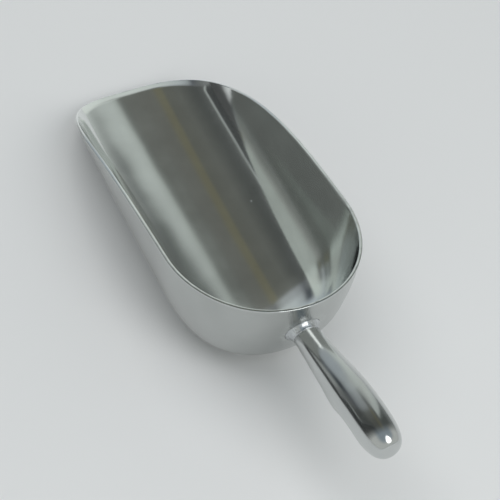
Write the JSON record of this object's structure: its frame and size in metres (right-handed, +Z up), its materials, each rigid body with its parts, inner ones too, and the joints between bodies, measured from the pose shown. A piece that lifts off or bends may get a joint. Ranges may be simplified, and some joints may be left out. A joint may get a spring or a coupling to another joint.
{
  "type": "ice scoop",
  "caption": "Cast aluminium ice scoop: a deep thin-walled bowl with a sloping lip and a finger-grip handle welded to its back wall.",
  "frame": {"origin": "middle of the whole scoop's footprint, at the lowest point of the bowl's floor", "axes": "+Z up with the scoop resting on its floor, +Y from the handle towards the lip, X = 0 is the plane of symmetry"},
  "size_m": [0.121, 0.3383, 0.0878],
  "materials": {
    "cast_bowl": "tumbled and buffed cast aluminium with a fine grain, satin outside and brighter inside",
    "polished_handle": "buffed cast aluminium, nearly mirror bright",
    "weld_bead": "dressed aluminium weld, slightly mottled"
  },
  "bodies": {
    "root": {"bowl": "cast_bowl", "handle": "polished_handle", "handle_weld": "weld_bead"}
  },
  "joints": []
}
